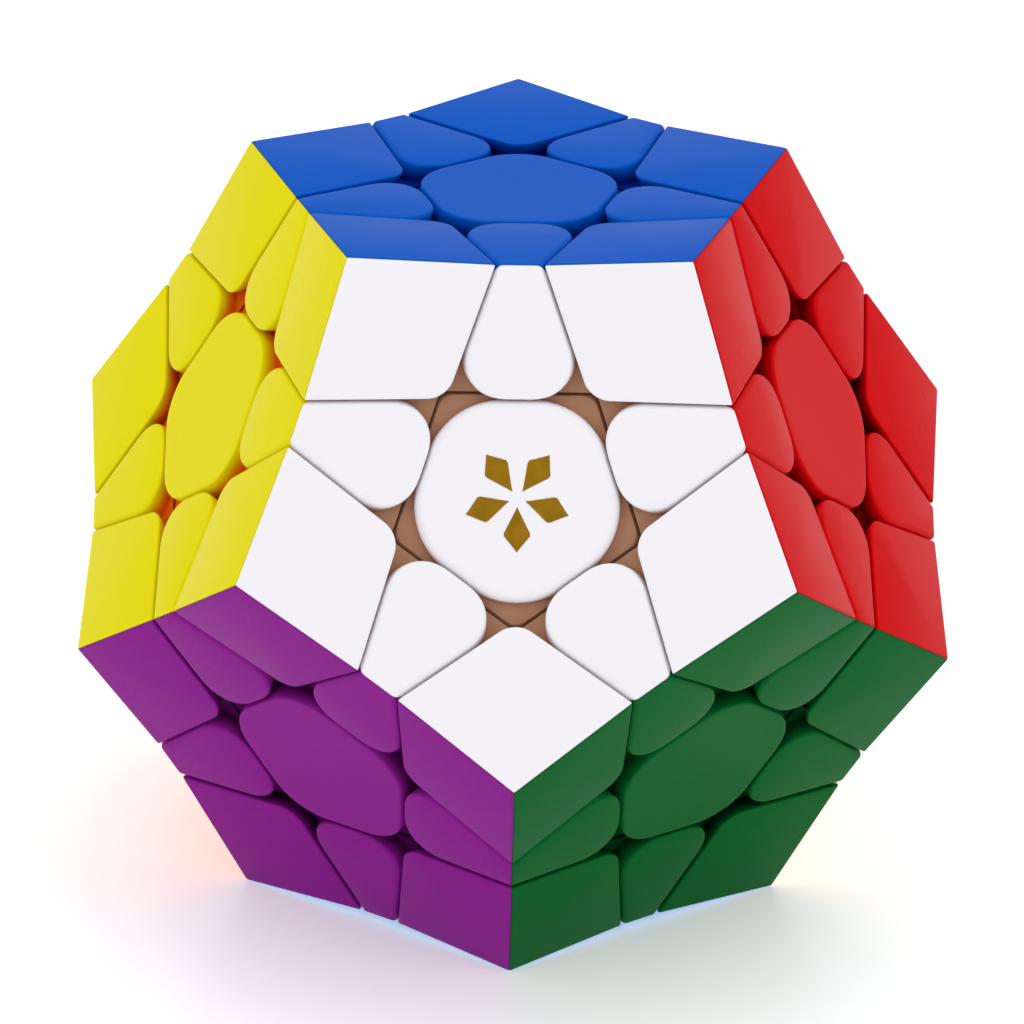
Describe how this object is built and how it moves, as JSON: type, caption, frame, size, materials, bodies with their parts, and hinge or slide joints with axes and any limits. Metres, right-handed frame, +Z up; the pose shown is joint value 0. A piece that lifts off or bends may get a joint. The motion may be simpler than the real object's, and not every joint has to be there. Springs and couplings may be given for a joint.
{
  "type": "dodecahedron twisty puzzle",
  "caption": "Dodecahedron twisty puzzle with dished faces: coloured centre caps, edge and corner pieces that turn in layers round a sprung core.",
  "frame": {"origin": "centre of the core, where the axes of all the faces cross", "axes": "+Z up through the blue face, with the puzzle standing on its sky-blue face; the white face looks forwards and up, towards -Y; +X to its right"},
  "size_m": [0.0812, 0.0854, 0.069],
  "materials": {
    "white_plastic": "coloured ABS, moulded through, satin gloss",
    "red_plastic": "coloured ABS, moulded through, satin gloss",
    "pink_plastic": "coloured ABS, moulded through, satin gloss",
    "lime_plastic": "coloured ABS, moulded through, satin gloss",
    "yellow_plastic": "coloured ABS, moulded through, satin gloss",
    "green_plastic": "coloured ABS, moulded through, satin gloss",
    "cream_plastic": "coloured ABS, moulded through, satin gloss",
    "grey_plastic": "coloured ABS, moulded through, satin gloss",
    "orange_plastic": "coloured ABS, moulded through, satin gloss",
    "purple_plastic": "coloured ABS, moulded through, satin gloss",
    "blue_plastic": "coloured ABS, moulded through, satin gloss",
    "sky_plastic": "coloured ABS, moulded through, satin gloss",
    "mechanism_nylon": "dark greased nylon, moulded",
    "screw_steel": "bright zinc-plated steel",
    "spring_steel": "drawn spring steel wire and stamped washers",
    "emblem_gold": "printed gold foil mark"
  },
  "bodies": {
    "core": {"core_upper_half": "mechanism_nylon", "core_lower_half": "mechanism_nylon", "core_screws": "screw_steel", "tension_springs": "spring_steel", "spring_washers": "spring_steel", "center_bases": "mechanism_nylon", "edge_feet": "mechanism_nylon", "corner_feet": "mechanism_nylon", "white_cap": "white_plastic", "blue_cap": "blue_plastic", "green_cap": "green_plastic", "purple_cap": "purple_plastic", "pink_cap": "pink_plastic", "lime_cap": "lime_plastic", "orange_cap": "orange_plastic", "cream_cap": "cream_plastic", "sky_cap": "sky_plastic", "white_shells": "white_plastic", "blue_shells": "blue_plastic", "green_shells": "green_plastic", "purple_shells": "purple_plastic", "pink_shells": "pink_plastic", "lime_shells": "lime_plastic", "orange_shells": "orange_plastic", "cream_shells": "cream_plastic", "sky_shells": "sky_plastic"},
    "red_layer": {"red_cap": "red_plastic", "red_corner_shells": "red_plastic", "red_edge_shells": "red_plastic", "red_center_base": "mechanism_nylon", "red_edge_feet": "mechanism_nylon", "red_corner_feet": "mechanism_nylon", "red_layer_white_shells": "white_plastic", "red_layer_blue_shells": "blue_plastic", "red_layer_green_shells": "green_plastic", "red_layer_pink_shells": "pink_plastic", "red_layer_cream_shells": "cream_plastic"},
    "yellow_layer": {"yellow_cap": "yellow_plastic", "yellow_corner_shells": "yellow_plastic", "yellow_edge_shells": "yellow_plastic", "yellow_center_base": "mechanism_nylon", "yellow_edge_feet": "mechanism_nylon", "yellow_corner_feet": "mechanism_nylon", "yellow_layer_white_shells": "white_plastic", "yellow_layer_blue_shells": "blue_plastic", "yellow_layer_purple_shells": "purple_plastic", "yellow_layer_lime_shells": "lime_plastic", "yellow_layer_orange_shells": "orange_plastic"},
    "grey_layer": {"grey_cap": "grey_plastic", "grey_corner_shells": "grey_plastic", "grey_edge_shells": "grey_plastic", "grey_center_base": "mechanism_nylon", "grey_edge_feet": "mechanism_nylon", "grey_corner_feet": "mechanism_nylon", "grey_layer_pink_shells": "pink_plastic", "grey_layer_lime_shells": "lime_plastic", "grey_layer_cream_shells": "cream_plastic", "grey_layer_orange_shells": "orange_plastic", "grey_layer_sky_shells": "sky_plastic"}
  },
  "joints": [
    {"name": "red_layer_turn", "type": "hinge", "parent": "core", "child": "red_layer", "pos_m": [0, 0, 0], "axis": [0.8507, -0.2764, 0.4472], "continuous": true},
    {"name": "yellow_layer_turn", "type": "hinge", "parent": "core", "child": "yellow_layer", "pos_m": [0, 0, 0], "axis": [-0.8507, -0.2764, 0.4472], "continuous": true},
    {"name": "grey_layer_turn", "type": "hinge", "parent": "core", "child": "grey_layer", "pos_m": [0, 0, 0], "axis": [0, 0.8944, -0.4472], "continuous": true}
  ]
}
